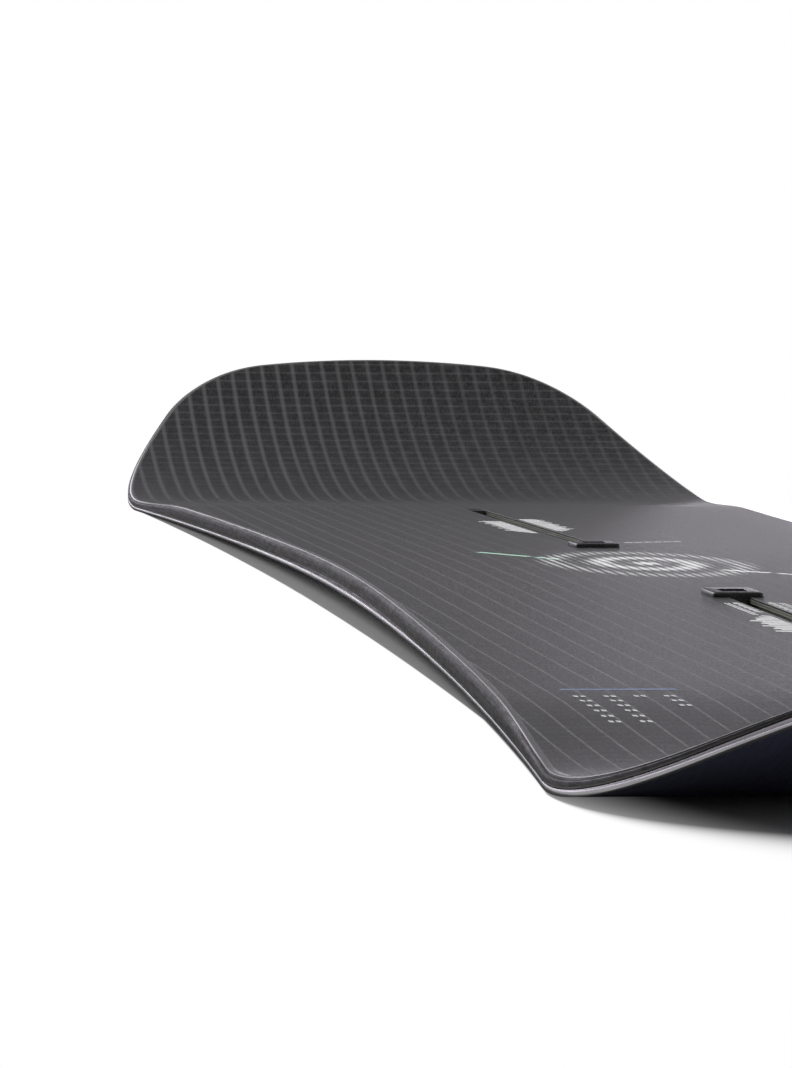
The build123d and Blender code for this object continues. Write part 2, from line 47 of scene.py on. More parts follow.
# ---- The board's sizes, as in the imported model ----
tip_width = 300.0 * mm
waist_width = 250.0 * mm
contact_half = 590.0 * mm
reach = {1: 207.0 * mm, -1: 175.0 * mm}
corners = {
    1: (77.0 * mm, radians(26.0), radians(82.0)),
    -1: (112.0 * mm, radians(24.0), radians(70.5)),
}
kicks = {1: (338.0 * mm, radians(34.7)), -1: (298.0 * mm, radians(28.0))}
camber_arc = 124.0 * mm
camber_slope = radians(0.45)
ledge_width = 1.6 * mm
ledge_half = 320.0 * mm
middle_thickness = 8.5 * mm
contact_thickness = 5.4 * mm
tip_thickness = 3.8 * mm
base_thickness = 1.2 * mm
flange_top = 1.8 * mm
damper_top = 2.0 * mm
core_bottom = 2.4 * mm
sheet_thickness = 0.5 * mm
skin_thickness = 1.0 * mm
edge_width = 1.8 * mm
flange_reach = 7.0 * mm
tooth_pitch = 32.0 * mm
notch_width = 12.0 * mm
notch_depth = 3.6 * mm
flange_overlap = 0.1 * mm  # how far the flange runs into the steel bar
steel_corner = 0.16 * mm   # how far the steel's corners are rounded
damper_width = 8.0 * mm
sidewall_width = 10.0 * mm
bevel_width = 1.0 * mm
stance_half = 285.0 * mm
channel_inner = stance_half - 170.0 * mm
channel_outer = stance_half + 162.0 * mm
channel_width = 24.0 * mm
channel_end_wall = 4.0 * mm
cavity_width = 16.0 * mm
cavity_floor = core_bottom + 0.8 * mm
lip_top = middle_thickness - sheet_thickness
lip_bottom = lip_top - 1.7 * mm
rib = 0.09 * mm            # how far the fine ribs stand out of a slot's walls
rib_levels = 2
port_start = channel_inner + 7.0 * mm
port_stop = port_start + 16.4 * mm
slot_width = 7.6 * mm
slot_stop = channel_outer - channel_end_wall
end_stop_start = slot_stop - 18.0 * mm
taper_start = channel_outer + 3.0 * mm
taper_end = contact_half + 2.0 * mm
core_end = contact_half + 42.0 * mm
core_point = 26.0 * mm
core_zone_half = 162.0 * mm
plate_start = port_start - 2.6 * mm
plate_stop = plate_start + 23.0 * mm
plate_width = 18.4 * mm
plate_corner = 2.2 * mm
plate_bottom = middle_thickness + 0.05 * mm
plate_top = plate_bottom + 1.7 * mm
grip_depth = 1.2 * mm
grip_length = 9.0 * mm
grip_width = 10.0 * mm
grip_scallops = 3
scallop_depth = 0.7 * mm
fit_gap = 0.2 * mm
trim_gap = 0.05 * mm
nut_length = 15.0 * mm
nut_thickness = 2.6 * mm
nut_corner = 1.0 * mm
nut_lift = 0.05 * mm
thread_radius = 2.5 * mm
thread_turns = 5
thread_end = 0.1 * mm      # plain bore above and below the thread
bolt_spacing = 40.0 * mm
cloth_pitch = 8.5 * mm     # lengthwise threads of the topsheet's cloth
cloth_thread = 0.3 * mm
cross_pitch = 8.2 * mm
cross_width = 0.7 * mm
slack = 1e-6               # for points that lie on a limit

camber_radius = camber_arc / camber_slope
sidecut_depth = (tip_width - waist_width) / 2
sidecut_radius = (contact_half**2 + sidecut_depth**2) / (2 * sidecut_depth)
waist_x = (reach[-1] - reach[1]) / 2


# ---- The press curve ----
def bend(side, length):
    """Run, drop and slope of the running surface a length from the waist."""
    radius, kick = kicks[side]
    kick_start = contact_half - radius * camber_slope
    turned = min(length, camber_arc) / camber_radius
    run = camber_radius * sin(turned)
    rise = -camber_radius * (1 - cos(turned))
    angle = -turned
    if length > camber_arc:
        straight = min(length, kick_start) - camber_arc
        run += straight * cos(camber_slope)
        rise -= straight * sin(camber_slope)
    if length > kick_start:
        angle = min((length - kick_start) / radius - camber_slope, kick)
        run += radius * (sin(angle) + sin(camber_slope))
        rise += radius * (cos(camber_slope) - cos(angle))
    past_kick = length - kick_start - radius * (kick + camber_slope)
    if past_kick > 0:
        run += past_kick * cos(kick)
        rise += past_kick * sin(kick)
    return run, rise, angle


camber_height = -bend(1, contact_half)[1]


def tip_length(side):
    """Flat length from the waist to the end of the nose (side 1) or tail (side -1)."""
    radius, kick = kicks[side]
    kick_stop = contact_half + radius * kick
    return kick_stop + (contact_half + reach[side] - bend(side, kick_stop)[0]) / cos(kick)


tip_flat = {side: tip_length(side) for side in (1, -1)}


def thickness(s):
    """Whole thickness of the board at a flat length from the waist."""
    side = 1 if s >= 0 else -1
    length = abs(s)
    if length <= taper_start:
        return middle_thickness
    if length <= taper_end:
        share = (length - taper_start) / (taper_end - taper_start)
        return middle_thickness + (contact_thickness - middle_thickness) * (1 - cos(pi * share)) / 2
    share = (length - taper_end) / (tip_flat[side] - taper_end)
    return contact_thickness + (tip_thickness - contact_thickness) * min(share, 1.0)


def pressed(s, y, height):
    """A point of the pressed board, a height above the running surface."""
    side = 1 if s >= 0 else -1
    run, rise, angle = bend(side, abs(s))
    x = side * (run - height * sin(angle)) + waist_x
    return Vector((x, y, camber_height + rise + height * cos(angle)))


def flat_length(x):
    """Flat length from the waist of a plan position X, halfway up the board's thickness."""
    side = 1 if x >= waist_x else -1
    low, high = 0.0, 1.2 * tip_flat[side]
    for _ in range(40):
        middle = (low + high) / 2
        at = pressed(side * middle, 0.0, thickness(side * middle) / 2).x
        if side * (at - x) < 0:
            low = middle
        else:
            high = middle
    return side * low


# ---- Loops: closed lists of (s, y, u, v), with (u, v) the direction into the material ----
def pairs(loop):
    """Each item of a closed list with the one after it."""
    return zip(loop, loop[1:] + loop[:1])


def directed(points, hole=False):
    """A closed loop with its directions, turned the right way round."""
    area = sum(a[0] * b[1] - b[0] * a[1] for a, b in pairs(points))
    if (area > 0) == hole:
        points = points[::-1]
    loop = []
    for i, (s, y) in enumerate(points):
        before, after = points[i - 1], points[(i + 1) % len(points)]
        along = Vector((after[0] - before[0], after[1] - before[1])).normalized()
        loop.append((s, y, -along.y, along.x))
    return loop


def moved_in(loop, amount):
    return [(s + amount * u, y + amount * v, u, v) for s, y, u, v in loop]


# Straight parts that each curve, and a slot's side, is made of.
slot_parts = 14
round_parts = 10
corner_parts = 5
scallop_parts = 6
bore_parts = 32
dot_parts = 8


def arc_points(centre, radius, start, stop, count):
    turns = [start + (stop - start) * i / count for i in range(count + 1)]
    return [(centre[0] + radius * cos(t), centre[1] + radius * sin(t)) for t in turns]


def rounded_rectangle(start, stop, width, radius):
    """Outline round the centre line between two flat lengths."""
    low, high = sorted((start, stop))
    points = []
    for corner, (sx, sy) in enumerate(((1, 1), (-1, 1), (-1, -1), (1, -1))):
        centre_s = (high - radius) if sx > 0 else (low + radius)
        centre = (centre_s, sy * (width / 2 - radius))
        points += arc_points(centre, radius, corner * pi / 2, (corner + 1) * pi / 2, corner_parts)
    return points


def on_side(side, points, hole=False):
    """A closed loop from points that are given for the front half of the board."""
    return directed([(side * s, y) for s, y in points], hole)


def rectangle(side, start, stop, width, hole=False):
    half = width / 2
    return on_side(side, [(start, half), (stop, half), (stop, -half), (start, -half)], hole)


def channel_outline(side, hole=False):
    return rectangle(side, channel_inner, channel_outer, channel_width, hole)


def slot_hole(side):
    """The port and the slot that leads from it, one hole."""
    half, port_half = slot_width / 2, cavity_width / 2
    centre = slot_stop - half
    straight = [port_stop + (centre - port_stop) * i / slot_parts for i in range(slot_parts)]
    points = [(port_start, port_half), (port_stop, port_half)]
    points += [(s, half) for s in straight]
    points += arc_points((centre, 0.0), half, pi / 2, -pi / 2, round_parts)
    points += [(s, -half) for s in reversed(straight)]
    points += [(port_stop, -port_half), (port_start, -port_half)]
    return on_side(side, points, hole=True)


def scalloped_grip(side):
    """The finger recess of a plug: straight sides and a row of scallops at each end."""
    pitch = grip_width / grip_scallops
    radius = (pitch**2 / 4 + scallop_depth**2) / (2 * scallop_depth)
    spread = asin(pitch / 2 / radius)
    middle = side * (plate_start + plate_stop) / 2
    points = []
    for end in (1, -1):
        for i in range(grip_scallops):
            across = end * (grip_width / 2 - pitch * (i + 0.5))
            centre = (middle + end * (grip_length / 2 + scallop_depth - radius), across)
            turn = 0.0 if end > 0 else pi
            points += arc_points(centre, radius, turn + spread, turn - spread, scallop_parts)
    return points


# ---- The outline ----
rail_step = 9.0 * mm
tip_step = 3.0 * mm


def tip_arcs(side):
    """Radius, first and last direction of the three arcs from a rail to the centre line."""
    corner_radius, side_turn, corner_turn = corners[side]
    leave = -asin(contact_half / sidecut_radius)
    length = reach[side] - corner_radius * (sin(corner_turn) - sin(side_turn))
    width = tip_width / 2 - corner_radius * (cos(side_turn) - cos(corner_turn))
    side_run, side_drop = sin(side_turn) - sin(leave), cos(leave) - cos(side_turn)
    end_run, end_drop = 1 - sin(corner_turn), cos(corner_turn)
    determinant = side_run * end_drop - side_drop * end_run
    side_radius = (length * end_drop - width * end_run) / determinant
    end_radius = (side_run * width - side_drop * length) / determinant
    return [
        (side_radius, leave, side_turn),
        (corner_radius, side_turn, corner_turn),
        (end_radius, corner_turn, pi / 2),
    ]


rail_cut = core_end + core_point * (1 - tip_width / 2 / core_zone_half)


def with_cuts(points):
    """The points with one more at each place where a sidewall meets a tip spacer."""
    cut = [points[0]]
    for a, b in zip(points, points[1:]):
        for place in (-rail_cut, rail_cut):
            if a[0] < place < b[0]:
                cut.append((place, a[1] + (b[1] - a[1]) * (place - a[0]) / (b[0] - a[0])))
        cut.append(b)
    return cut


def left_rim():
    """The left half of the rim from tail to nose, as (s, y)."""
    tips = {}
    for side in (1, -1):
        x, width = contact_half, tip_width / 2
        tips[side] = []
        for radius, start, stop in tip_arcs(side):
            count = max(3, round(radius * (stop - start) / tip_step))
            for i in range(1, count + 1):
                turn = start + (stop - start) * i / count
                along = x + radius * (sin(turn) - sin(start))
                across = width - radius * (cos(start) - cos(turn))
                tips[side].append((flat_length(side * along + waist_x), max(across, 0.0)))
            x, width = along, across
    count = round(2 * contact_half / rail_step)
    rail = []
    for i in range(count + 1):
        x = -contact_half + 2 * contact_half * i / count
        rail.append((x, waist_width / 2 + sidecut_radius - sqrt(sidecut_radius**2 - x**2)))
    return with_cuts(tips[-1][::-1] + rail + tips[1])


def ledged(loop):
    """A rim moved in by the ledge where the sidewall stands back from the steel edge."""
    moved = []
    for point in loop:
        share = min(abs(point[0]) / ledge_half, 1.0)
        moved += moved_in([point], ledge_width * (1 - 3 * share**2 + 2 * share**3))
    return moved


left_half = left_rim()
rim = directed(left_half + [(s, -y) for s, y in left_half[-2:0:-1]])
stepped = ledged(rim)


def rail_loop(loop, hand):
    """The points of one half of a rim, from the tail's centre to the nose's."""
    half = [point for point in loop if hand * point[1] > -slack]
    return sorted(half, key=lambda point: atan2(abs(point[1]), -point[0]))


# ---- Meshes ----
fill_rows = 6.0 * mm       # spacing of the points inside a layer where it bends
fill_columns = 30.0 * mm
straight_rows = 5          # between the feet one row in this many is enough
keep_inside = 1            # the triangulation's kind: only triangles inside the loops
weld = 1e-9


def inside(point, loop):
    """Whether a flat point lies inside a loop."""
    s, y = point
    crossings = [
        s < a[0] + (b[0] - a[0]) * (y - a[1]) / (b[1] - a[1])
        for a, b in pairs(loop) if (a[1] <= y) != (b[1] <= y)
    ]
    return sum(crossings) % 2 == 1


def inside_points(loop):
    """Points inside an outline, in rows that carry the bend."""
    low, high = min(p[0] for p in loop), max(p[0] for p in loop)
    count = int((high - low) / fill_rows)
    found = []
    for i in range(1, count):
        s = low + (high - low) * i / count
        if abs(s) < contact_half - 2 * rail_step and i % straight_rows:
            continue
        crossings = sorted(
            a[1] + (b[1] - a[1]) * (s - a[0]) / (b[0] - a[0])
            for a, b in pairs(loop) if (a[0] <= s) != (b[0] <= s)
        )
        for y_low, y_high in zip(crossings[::2], crossings[1::2]):
            columns = int((y_high - y_low) / fill_columns)
            for j in range(1, columns + 1):
                found.append((s, y_low + (y_high - y_low) * j / (columns + 1)))
    return found


class Form:
    """A mesh in the making. The attribute "flat" holds (s, y, height) of each point.

    The attribute "rim" is 1 round the outer wall of a slab and -1 round its holes.
    """

    def __init__(self):
        self.vertices, self.flats, self.rims, self.faces = [], [], [], []

    def point(self, s, y, height, rim=0.0):
        self.vertices.append(pressed(s, y, height))
        self.flats.append((s, y, height))
        self.rims.append(rim)
        return len(self.vertices) - 1

    def slab(self, outline, profile, holes=()):
        """A slab with an outline and holes. A profile is (how far in, height) from top to bottom.

        Heights are functions of the flat length. Each hole is (loop, profile).
        """
        walls = [(outline, profile)] + list(holes)
        flat_points, edges = [], []
        for loop, wall in walls:
            first, count = len(flat_points), len(loop)
            flat_points += [p[:2] for p in moved_in(loop, wall[0][0])]
            edges += [(first + i, first + (i + 1) % count) for i in range(count)]
        boundary = len(flat_points)
        hole_loops = [moved_in(loop, wall[0][0]) for loop, wall in holes]
        for s, y in inside_points(outline):
            far = all(hypot(s - a, y - b) > fill_rows / 2 for a, b in flat_points[:boundary])
            if far and not any(inside((s, y), loop) for loop in hole_loops):
                flat_points.append((s, y))
        filled = delaunay_2d_cdt([Vector(p) for p in flat_points], edges, [], keep_inside, weld)
        triangles, origins = filled[2:4]

        top, bottom = [], []
        for loop, wall in walls:
            rings = []
            for level, (amount, height) in enumerate(wall):
                rim = (1.0 if loop is outline else -1.0) if level else 0.0
                rings.append([self.point(s, y, height(s), rim) for s, y, u, v in moved_in(loop, amount)])
            top += rings[0]
            bottom += rings[-1]
            for upper, lower in zip(rings, rings[1:]):
                for (a, b), (c, d) in zip(pairs(upper), pairs(lower)):
                    self.faces.append((a, c, d, b))
        for s, y in flat_points[boundary:]:
            top.append(self.point(s, y, profile[0][1](s)))
            bottom.append(self.point(s, y, profile[-1][1](s)))
        for triangle in triangles:
            if not all(origins[v] for v in triangle):
                continue
            ids = [origins[v][0] for v in triangle]
            centre = [sum(flat_points[i][k] for i in ids) / 3 for k in (0, 1)]
            if not any(inside(centre, loop) for loop in hole_loops):
                self.faces.append(tuple(top[i] for i in ids))
                self.faces.append(tuple(bottom[i] for i in reversed(ids)))
        return self

    def sweep(self, rows):
        """Closed sections, each a list of (s, y, height), joined from first to last."""
        rings = [[self.point(*place) for place in row] for row in rows]
        for near, far in zip(rings, rings[1:]):
            for (a, b), (c, d) in zip(pairs(near), pairs(far)):
                self.faces.append((a, b, d, c))
        self.faces.append(tuple(rings[0]))
        self.faces.append(tuple(reversed(rings[-1])))
        return self

    def patch(self, corner_places, height):
        """One flat face, such as a printed mark."""
        self.faces.append(tuple(self.point(s, y, height(s)) for s, y in corner_places))

    def piece(self, name, material, body="board", smooth=35.0, closed=True):
        """The object, riding on its body, shaded smooth up to an angle in degrees."""
        mesh = bpy.data.meshes.new(name)
        mesh.from_pydata(self.vertices, [], self.faces)
        if closed:
            work = bmesh.new()
            work.from_mesh(mesh)
            bmesh.ops.recalc_face_normals(work, faces=work.faces)
            work.to_mesh(mesh)
            work.free()
        mesh.polygons.foreach_set("use_smooth", [True] * len(mesh.polygons))
        mesh.set_sharp_from_angle(angle=radians(smooth))
        flat_map = mesh.attributes.new("flat", "FLOAT_VECTOR", "POINT")
        flat_map.data.foreach_set("vector", [c for place in self.flats for c in place])
        mesh.attributes.new("rim", "FLOAT", "POINT").data.foreach_set("value", self.rims)
        mesh.materials.append(material)
        made = bpy.data.objects.new(name, mesh)
        scene.collection.objects.link(made)
        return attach(made, body)


def above(height):
    return lambda s: height


def below_deck(depth):
    return lambda s: thickness(s) - depth


def rising(*places):
    """A wall's profile from (how far in, height above the running surface)."""
    return [(inset, above(height)) for inset, height in places]


def upright(top, bottom):
    return rising((0.0, top), (0.0, bottom))


def hanging(*places):
    """A wall's profile from (how far in, depth below the deck)."""
    return [(inset, below_deck(depth)) for inset, depth in places]


def section(point, places):
    """A section at a point of a loop, from (how far in, height)."""
    s, y, u, v = point
    return [(s + inset * u, y + inset * v, height) for inset, height in places]


# ---- Nodes ----
class Nodes:
    """Short calls for the nodes of a world or material. Inputs are numbers, colours or sockets."""

    def __init__(self, owner, empty=True):
        owner.use_nodes = True
        self.tree = owner.node_tree
        if empty:
            self.tree.nodes.clear()

    def give(self, socket, value):
        if isinstance(value, bpy.types.NodeSocket):
            self.tree.links.new(value, socket)
        elif value is not None:
            socket.default_value = value

    def node(self, kind, *inputs, **settings):
        made = self.tree.nodes.new("ShaderNode" + kind)
        for key, value in settings.items():
            setattr(made, key, value)
        for socket, value in zip(made.inputs, inputs):
            self.give(socket, value)
        return made

    def fill(self, made, **values):
        """Give a node's named inputs their values, with _ for a space in a name."""
        for name, value in values.items():
            self.give(made.inputs[name.replace("_", " ")], value)
        return made

    def maths(self, operation, *inputs):
        return self.node("Math", *inputs, operation=operation).outputs[0]

    def plus(self, a, b):
        return self.maths("ADD", a, b)

    def minus(self, a, b):
        return self.maths("SUBTRACT", a, b)

    def times(self, a, b):
        return self.maths("MULTIPLY", a, b)

    def times_plus(self, a, b, c):
        return self.maths("MULTIPLY_ADD", a, b, c)

    def larger(self, a, b):
        return self.maths("MAXIMUM", a, b)

    def smaller(self, a, b):
        return self.maths("MINIMUM", a, b)

    def axes(self, vector):
        """The three numbers of a vector."""
        return self.node("SeparateXYZ", vector).outputs

    def scaled(self, vector, scale):
        return self.node("Mapping", vector, None, None, scale).outputs[0]

    def spread(self, value, from_low, from_high, to_low=0.0, to_high=1.0):
        """A value carried smoothly from one range to another."""
        ranges = (from_low, from_high, to_low, to_high)
        return self.node("MapRange", value, *ranges, interpolation_type="SMOOTHSTEP").outputs[0]

    def mix(self, share, low, high):
        """A number between two numbers."""
        return self.node("Mix", share, None, low, high, data_type="FLOAT").outputs[0]

    def blend(self, share, low, high):
        """A colour between two colours."""
        skipped = [None] * 5
        return self.node("Mix", share, *skipped, low, high, data_type="RGBA").outputs[2]


# ---- Materials ----
plain = (1.0, 1.0, 1.0)


def grey(value, tint=plain):
    return (value * tint[0], value * tint[1], value * tint[2], 1.0)


class Look(Nodes):
    """A material on one Principled shader.

    It knows the coordinates of the piece, place, and the board's flat ones (s, y, height), flat.
    """

    def __init__(self, name, **sockets):
        self.material = bpy.data.materials.new(name)
        super().__init__(self.material, empty=False)
        self.shader = self.fill(self.tree.nodes["Principled BSDF"], **sockets)
        self.place = self.node("TexCoord").outputs["Object"]
        self.flat = self.node("Attribute", attribute_name="flat").outputs["Vector"]

    def noise(self, vector, scale, detail=3.0, roughness=0.6):
        """Noise at a number of cells a metre along each axis."""
        made = self.node("TexNoise", self.scaled(vector, scale))
        return self.fill(made, Scale=1.0, Detail=detail, Roughness=roughness).outputs["Fac"]

    def swayed(self, coordinate, noise, amount):
        """A coordinate moved to and fro by noise."""
        return self.plus(coordinate, self.times(self.minus(noise, 0.5), amount))

    def greys(self, share, low, high, tint=plain):
        """A grey between two greys of the same tint."""
        return self.blend(share, grey(low, tint), grey(high, tint))

    def lines(self, coordinate, pitch, width, soft):
        """1 on lines across a coordinate, one a pitch, fading to 0 over a soft edge."""
        share = self.maths("FRACT", self.maths("DIVIDE", coordinate, pitch))
        away = self.times(self.maths("ABSOLUTE", self.minus(share, 0.5)), pitch)
        return self.spread(away, width / 2, width / 2 + soft, 1.0, 0.0)

    def wear(self, colour, roughness, height, strength, distance):
        """The material with its colour, its roughness and a bump of small height."""
        bump = self.fill(self.node("Bump"), Strength=strength, Distance=distance, Height=height)
        normal = bump.outputs["Normal"]
        self.fill(self.shader, Base_Color=colour, Roughness=roughness, Normal=normal)
        return self.material


def topsheet_material():
    """Dark satin cloth with thin pale lengthwise threads and fainter cross threads."""
    look = Look("topsheet_cloth", IOR=1.45, Sheen_Weight=0.3, Sheen_Roughness=0.2)
    s, y, _ = look.axes(look.flat)
    drift = look.noise(look.flat, (14.0, 90.0, 0.0), 2.0)
    cloud = look.noise(look.flat, (9.0, 14.0, 0.0), 4.0)
    grain = look.noise(look.flat, (240.0, 1300.0, 0.0), 3.0, 0.75)
    breaks = look.noise(look.flat, (600.0, 60.0, 0.0), 3.0, 0.75)
    patches = look.noise(look.flat, (70.0, 120.0, 0.0), 4.0, 0.65)

    # Broken pale threads on the deck, wide and soft ones on the nose, all fainter to the right.
    across = look.swayed(y, drift, 1.0 * mm)
    threads = look.lines(across, cloth_pitch, cloth_thread, 0.35 * mm)
    threads = look.times(threads, look.spread(breaks, 0.35, 0.65, 0.25, 1.3))
    sunk = look.times(look.lines(across, cloth_pitch, cloth_thread, 1.7 * mm), 0.42)
    nose = look.spread(s, contact_half - 30 * mm, contact_half + 40 * mm)
    threads = look.mix(nose, threads, sunk)
    threads = look.times(threads, look.spread(y, -110 * mm, 110 * mm, 0.3, 1.0))
    cross = look.lines(look.swayed(s, cloud, 2.0 * mm), cross_pitch, cross_width, 0.9 * mm)
    cross = look.times(cross, look.spread(patches, 0.3, 0.65, 0.25, 0.8))

    ground = look.greys(look.spread(patches, 0.35, 0.65), 0.006, 0.014, (1.0, 0.98, 1.08))
    ground = look.blend(look.spread(grain, 0.42, 0.72, 0.0, 0.6), ground, grey(0.055))
    ground = look.blend(cross, ground, grey(0.05))
    cloth = look.blend(look.smaller(threads, 1.0), ground, grey(0.14))
    rim = look.node("Attribute", attribute_name="rim").outputs["Fac"]
    # Painted highlight: the rounded outer rim gets a lighter grey than the cloth. Its lower roughness
    # gives it a real highlight as well.
    colour = look.blend(look.larger(rim, 0.0), cloth, grey(0.11))
    # Painted shade: the cut walls round the slots are near black, standing in for the shade under the
    # sheet's edge.
    cut_wall = look.spread(rim, -0.6, -0.1, 1.0, 0.0)
    colour = look.blend(cut_wall, colour, grey(0.004))
    satin = look.mix(rim, look.spread(grain, 0.3, 0.7, 0.27, 0.40), 0.14)
    roughness = look.larger(satin, look.times(cut_wall, 0.9))
    height = look.plus(grain, look.times(threads, 0.6))
    return look.wear(colour, roughness, height, strength=0.25, distance=0.05 * mm)


def streaked_material(name, low, high, rough_low, rough_high, tint=plain):
    """Milled plastic: cloudy, with lengthwise streaks."""
    look = Look(name, IOR=1.5, Specular_IOR_Level=0.12)
    streaks = look.noise(look.place, (25.0, 60.0, 1600.0), 4.0, 0.65)
    cloud = look.noise(look.place, (180.0, 180.0, 500.0), 5.0, 0.75)
    fine = look.noise(look.place, (500.0, 500.0, 2500.0), 2.0)
    mixed = look.plus(look.times(streaks, 0.45), look.times(cloud, 0.55))
    colour = look.greys(look.spread(mixed, 0.35, 0.65), low, high, tint)
    roughness = look.spread(mixed, 0.35, 0.65, rough_high, rough_low)
    height = look.plus(fine, streaks)
    return look.wear(colour, roughness, height, strength=0.3, distance=0.05 * mm)


def steel_material(name):
    """Ground spring steel: fine lengthwise scratches and a few dull patches."""
    look = Look(name, Metallic=1.0, Anisotropic=0.3)
    scratches = look.noise(look.place, (8.0, 60.0, 5000.0), 3.0, 0.7)
    patches = look.noise(look.place, (25.0, 25.0, 200.0), 3.0, 0.5)
    bright, dull = grey(0.78, (1.0, 0.98, 1.02)), grey(0.66, (1.0, 0.98, 1.0))
    colour = look.blend(look.spread(patches, 0.35, 0.7), bright, dull)
    roughness = look.spread(look.plus(scratches, patches), 0.8, 1.25, 0.16, 0.3)
    return look.wear(colour, roughness, scratches, strength=0.12, distance=0.01 * mm)


def base_material():
    """Sintered base, ground with a fine lengthwise structure."""
    look = Look("base_sintered", IOR=1.5)
    structure = look.noise(look.flat, (60.0, 2600.0, 0.0), 2.0)
    cloud = look.noise(look.flat, (20.0, 30.0, 0.0))
    colour = look.greys(look.spread(cloud, 0.3, 0.7), 0.042, 0.056, (0.92, 1.0, 1.8))
    roughness = look.spread(structure, 0.3, 0.7, 0.35, 0.5)
    return look.wear(colour, roughness, structure, strength=0.35, distance=0.03 * mm)


def spark_texture(look):
    """The fine texture that a spark-eroded mould leaves."""
    return look.noise(look.place, (2200.0,) * 3, 2.0)


def moulded_material(name, low, high, rough_low, rough_high):
    """Moulded plastic or rubber: fine spark texture and slight patchiness."""
    look = Look(name, IOR=1.5)
    texture = spark_texture(look)
    patches = look.noise(look.place, (150.0,) * 3)
    colour = look.greys(look.spread(patches, 0.3, 0.7), low, high)
    roughness = look.spread(texture, 0.3, 0.7, rough_low, rough_high)
    return look.wear(colour, roughness, texture, strength=0.3, distance=0.03 * mm)


def ribbed_material():
    """Glass-filled plastic of the channels, with painted shade as dark lines between its fine lengthwise
    ribs.
    """
    look = Look("channel_plastic", IOR=1.5)
    texture = spark_texture(look)
    height = look.axes(look.flat)["Z"]
    pitch = (lip_top - lip_bottom) / rib_levels
    level = look.plus(look.minus(lip_top, height), 0.6 * pitch)
    # Painted shade: dark lines between the ribs, where the grooves lie in shade.
    groove_shade = look.times(look.lines(level, pitch, 0.2 * mm, 0.12 * mm), 0.8)
    colour = look.greys(look.spread(texture, 0.3, 0.7), 0.48, 0.6, (1.0, 1.01, 0.93))
    colour = look.blend(groove_shade, colour, grey(0.04, (1.0, 1.02, 0.85)))
    roughness = look.spread(texture, 0.3, 0.7, 0.35, 0.5)
    return look.wear(colour, roughness, texture, strength=0.3, distance=0.03 * mm)


def wood_material(name, light, dark):
    """Planed wood with long grain."""
    look = Look(name, IOR=1.45, Roughness=0.6)
    bands = look.noise(look.place, (8.0, 220.0, 220.0), 4.0)
    pores = look.noise(look.place, (120.0, 2500.0, 2500.0), 2.0)
    share = look.spread(look.plus(bands, look.times(pores, 0.35)), 0.45, 0.95)
    roughness = look.spread(pores, 0.3, 0.7, 0.5, 0.7)
    colour = look.blend(share, light, dark)
    return look.wear(colour, roughness, pores, strength=0.2, distance=0.05 * mm)


def laminate_material():
    """Resin-filled glass cloth: a fine weave at right angles."""
    look = Look("glass_laminate", IOR=1.52)
    x, y, _ = look.axes(look.place)
    warp, weft = (look.lines(axis, 1.2 * mm, 0.5 * mm, 0.3 * mm) for axis in (x, y))
    weave = look.times(look.plus(warp, weft), 0.5)
    cloud = look.noise(look.place, (60.0,) * 3)
    colour = look.greys(weave, 0.018, 0.04, (1.0, 0.98, 0.9))
    roughness = look.spread(cloud, 0.3, 0.7, 0.25, 0.45)
    return look.wear(colour, roughness, weave, strength=0.2, distance=0.05 * mm)


def ink_material(name, colour, faded):
    """Printed ink, slightly worn by the cloth's grain."""
    look = Look(name, IOR=1.45)
    grain = look.noise(look.flat, (900.0, 900.0, 0.0), 3.0, 0.7)
    worn = look.blend(look.spread(grain, 0.35, 0.6), faded, colour)
    roughness = look.spread(grain, 0.3, 0.7, 0.4, 0.6)
    return look.wear(worn, roughness, grain, strength=0.1, distance=0.02 * mm)


topsheet_cloth = topsheet_material()
edge_steel = steel_material("edge_steel")
base_sheet = base_material()
sidewall_plastic = streaked_material("sidewall_plastic", 0.006, 0.055, 0.36, 0.5, (1.0, 0.98, 0.97))
tip_plastic = streaked_material("tip_plastic", 0.022, 0.05, 0.32, 0.5)
channel_plastic = ribbed_material()
plug_plastic = moulded_material("plug_plastic", 0.012, 0.02, 0.24, 0.34)
damper_rubber = moulded_material("damper_rubber", 0.02, 0.03, 0.6, 0.8)
glass_laminate = laminate_material()
poplar = wood_material("core_poplar", (0.62, 0.45, 0.27, 1.0), (0.45, 0.29, 0.15, 1.0))
beech = wood_material("core_beech", (0.42, 0.24, 0.12, 1.0), (0.26, 0.13, 0.06, 1.0))
nut_plating = steel_material("nut_plating")

# ---- Base, steel edges, dampers and bottom laminate ----
base_form = Form().slab(moved_in(rim, edge_width), upright(base_thickness, 0.0))
base_piece = base_form.piece("base_sheet", base_sheet)
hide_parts("base")

bar_places = [
    (edge_width, flange_top), (steel_corner, flange_top), (0.0, flange_top - steel_corner),
    (0.0, steel_corner), (steel_corner, 0.0), (edge_width, 0.0),
]
damper_places = [
    (0.0, damper_top), (0.0, flange_top), (damper_width, flange_top), (damper_width, damper_top),
]


def flange_section(point, inner):
    """Section of the toothed flange that holds the bar, above the base."""
    outer = edge_width - flange_overlap
    return section(point, [
        (inner, flange_top), (outer, flange_top), (outer, base_thickness), (inner, base_thickness),
    ])


def between_points(a, b, share):
    """A rim point between two others."""
    s, y, u, v = [p + (q - p) * share for p, q in zip(a, b)]
    length = hypot(u, v)
    return (s, y, u / length, v / length)


